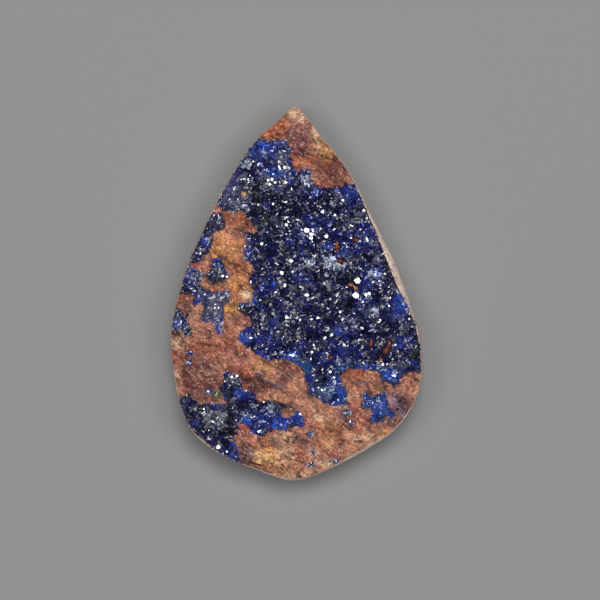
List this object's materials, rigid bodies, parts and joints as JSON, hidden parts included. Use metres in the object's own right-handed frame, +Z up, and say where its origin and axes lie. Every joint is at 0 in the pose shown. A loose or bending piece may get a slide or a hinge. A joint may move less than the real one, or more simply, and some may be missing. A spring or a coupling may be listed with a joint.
{
  "type": "azurite specimen",
  "caption": "Pear-shaped slab of rusty sandstone with a sawn flat back and ground edge, its rough face crusted with druses of deep blue azurite crystals.",
  "frame": {"origin": "middle of the sawn flat back", "axes": "+Y towards the slab's point, +Z up out of the crystal face, +X to the right seen from above with the point up"},
  "size_m": [0.0252, 0.0376, 0.007],
  "materials": {
    "sandstone": "rough, iron-stained sandstone, ground smooth round its edge",
    "azurite": "glassy deep blue crystals",
    "malachite": "silky green crystals"
  },
  "bodies": {
    "root": {"sandstone_matrix": "sandstone", "azurite_main_druse": "azurite", "azurite_left_rim_druse": "azurite", "azurite_left_cluster": "azurite", "azurite_left_wall_druse": "azurite", "azurite_left_foot_druse": "azurite", "azurite_lower_cluster": "azurite", "azurite_right_cluster": "azurite", "azurite_grain_upper_left": "azurite", "azurite_grain_left": "azurite", "azurite_grain_by_cluster": "azurite", "azurite_grain_centre": "azurite", "azurite_grain_lower_centre": "azurite", "azurite_grain_foot": "azurite", "azurite_grain_foot_small": "azurite", "azurite_grain_foot_edge": "azurite", "azurite_grain_foot_right": "azurite", "malachite_grain": "malachite"}
  },
  "joints": []
}
